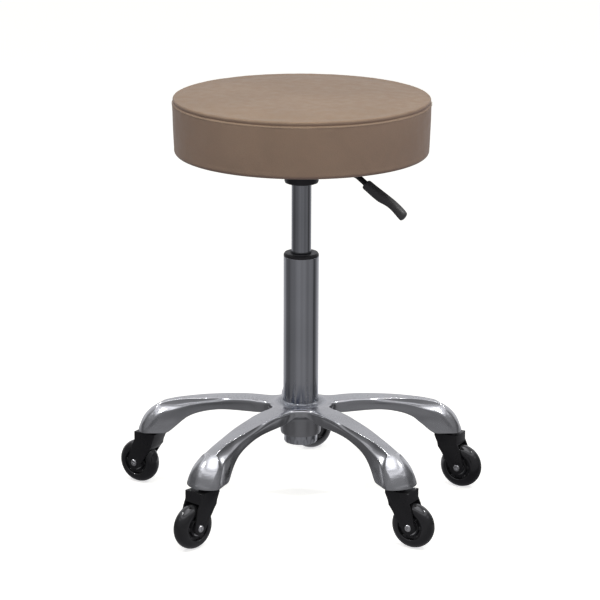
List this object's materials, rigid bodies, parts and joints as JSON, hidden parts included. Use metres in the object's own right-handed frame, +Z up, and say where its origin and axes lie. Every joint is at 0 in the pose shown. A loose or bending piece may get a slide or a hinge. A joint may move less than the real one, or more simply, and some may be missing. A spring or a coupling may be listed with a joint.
{
  "type": "dentist stool",
  "caption": "Round upholstered dental stool on a polished star base with casters, gas-lift height adjustment and a side lever under the seat.",
  "frame": {"origin": "centre of the seat's top face, on the axis of the column; the floor is at z = -0.590 with the seat fully raised", "axes": "+Z up along the column; +X to the user's right when the stool is seen as shown; the lever points 30 degrees from +X towards -Y"},
  "size_m": [0.5288, 0.4858, 0.59],
  "materials": {
    "polished_alloy": "polished die cast",
    "column_steel": "satin plated",
    "piston_steel": "ground and nitrided",
    "plain_steel": "zinc plated",
    "black_steel": "black powder coat",
    "black_plastic": "fine moulded grain",
    "caster_nylon": "smooth nylon",
    "tyre_black": "smooth polyurethane",
    "bush_plastic": "acetal",
    "seal_rubber": "moulded",
    "bright_steel": "bright zinc",
    "cover_vinyl": "taupe vinyl, fine grain",
    "foam": "open cell foam",
    "plywood": "plywood",
    "dust_cloth": "non-woven"
  },
  "bodies": {
    "base": {"star_base": "polished_alloy", "caster_stems": "plain_steel", "stem_grip_rings": "plain_steel", "outer_column": "column_steel", "guide_bush": "bush_plastic", "bearing_lower_race": "plain_steel"},
    "rod": {"piston_rod": "bright_steel", "piston_head": "plain_steel", "piston_seal": "seal_rubber", "bearing_upper_race": "plain_steel", "buffer": "seal_rubber", "retaining_clip": "plain_steel"},
    "cage": {"bearing_cage": "bush_plastic", "bearing_balls": "bright_steel"},
    "seat": {"gas_cylinder": "piston_steel", "cylinder_plug": "plain_steel", "valve_block": "plain_steel", "mount_plate": "black_steel", "taper_socket": "black_steel", "lever_pivot_pin": "plain_steel", "plate_screws": "bright_steel", "tee_nuts": "plain_steel", "seat_board": "plywood", "seat_foam": "foam", "seat_cover": "cover_vinyl", "dust_cover": "dust_cloth", "cover_staples": "bright_steel"},
    "lever": {"lever_rod": "black_steel", "lever_grip": "black_plastic"},
    "valve": {"valve_pin": "bright_steel"},
    "caster_1_swivel": {"caster_1_fork": "caster_nylon", "caster_1_axle": "bright_steel", "caster_1_inner_rings": "bright_steel"},
    "caster_1_wheel": {"caster_1_outer_rings": "bright_steel", "caster_1_hub": "caster_nylon", "caster_1_tyre": "tyre_black"},
    "caster_2_swivel": {"caster_2_fork": "caster_nylon", "caster_2_axle": "bright_steel", "caster_2_inner_rings": "bright_steel"},
    "caster_2_wheel": {"caster_2_outer_rings": "bright_steel", "caster_2_hub": "caster_nylon", "caster_2_tyre": "tyre_black"},
    "caster_3_swivel": {"caster_3_fork": "caster_nylon", "caster_3_axle": "bright_steel", "caster_3_inner_rings": "bright_steel"},
    "caster_3_wheel": {"caster_3_outer_rings": "bright_steel", "caster_3_hub": "caster_nylon", "caster_3_tyre": "tyre_black"},
    "caster_4_swivel": {"caster_4_fork": "caster_nylon", "caster_4_axle": "bright_steel", "caster_4_inner_rings": "bright_steel"},
    "caster_4_wheel": {"caster_4_outer_rings": "bright_steel", "caster_4_hub": "caster_nylon", "caster_4_tyre": "tyre_black"},
    "caster_5_swivel": {"caster_5_fork": "caster_nylon", "caster_5_axle": "bright_steel", "caster_5_inner_rings": "bright_steel"},
    "caster_5_wheel": {"caster_5_outer_rings": "bright_steel", "caster_5_hub": "caster_nylon", "caster_5_tyre": "tyre_black"}
  },
  "joints": [
    {"name": "seat_swivel", "type": "hinge", "parent": "base", "child": "rod", "pos_m": [0, 0, -0.49], "axis": [0, 0, 1], "continuous": true},
    {"name": "cage_spin", "type": "hinge", "parent": "base", "child": "cage", "pos_m": [0, 0, -0.493], "axis": [0, 0, 1], "continuous": true},
    {"name": "seat_lift", "type": "slide", "parent": "rod", "child": "seat", "axis": [0, 0, 1], "range_m": [-0.095, 0]},
    {"name": "lever_pull", "type": "hinge", "parent": "seat", "child": "lever", "pos_m": [0.01732, -0.01, -0.092], "axis": [-0.5, -0.866, 0], "range_deg": [0, 8]},
    {"name": "valve_press", "type": "slide", "parent": "seat", "child": "valve", "axis": [0, 0, -1], "range_m": [0, 0.0029]},
    {"name": "caster_1_swivel_turn", "type": "hinge", "parent": "base", "child": "caster_1_swivel", "pos_m": [0.21412, 0.07231, -0.52], "axis": [0, 0, 1], "continuous": true},
    {"name": "caster_1_roll", "type": "hinge", "parent": "caster_1_swivel", "child": "caster_1_wheel", "pos_m": [0.2346, 0.06142, -0.5585], "axis": [0.4695, 0.8829, 0], "continuous": true},
    {"name": "caster_2_swivel_turn", "type": "hinge", "parent": "base", "child": "caster_2_swivel", "pos_m": [-0.0026, 0.22598, -0.52], "axis": [0, 0, 1], "continuous": true},
    {"name": "caster_2_roll", "type": "hinge", "parent": "caster_2_swivel", "child": "caster_2_wheel", "pos_m": [0.01798, 0.2367, -0.5585], "axis": [-0.4617, 0.887, 0], "continuous": true},
    {"name": "caster_3_swivel_turn", "type": "hinge", "parent": "base", "child": "caster_3_swivel", "pos_m": [-0.21573, 0.06736, -0.52], "axis": [0, 0, 1], "continuous": true},
    {"name": "caster_3_roll", "type": "hinge", "parent": "caster_3_swivel", "child": "caster_3_wheel", "pos_m": [-0.2354, 0.07965, -0.5585], "axis": [-0.5299, -0.848, 0], "continuous": true},
    {"name": "caster_4_swivel_turn", "type": "hinge", "parent": "base", "child": "caster_4_swivel", "pos_m": [-0.13073, -0.18436, -0.52], "axis": [0, 0, 1], "continuous": true},
    {"name": "caster_4_roll", "type": "hinge", "parent": "caster_4_swivel", "child": "caster_4_wheel", "pos_m": [-0.14684, -0.20105, -0.5585], "axis": [0.7193, -0.6947, 0], "continuous": true},
    {"name": "caster_5_swivel_turn", "type": "hinge", "parent": "base", "child": "caster_5_swivel", "pos_m": [0.13494, -0.1813, -0.52], "axis": [0, 0, 1], "continuous": true},
    {"name": "caster_5_roll", "type": "hinge", "parent": "caster_5_swivel", "child": "caster_5_wheel", "pos_m": [0.15482, -0.19324, -0.5585], "axis": [0.515, 0.8572, 0], "continuous": true}
  ],
  "couplings": [
    {"joint": "valve_press", "follows": "lever_pull", "m_per_rad": 0.02}
  ]
}
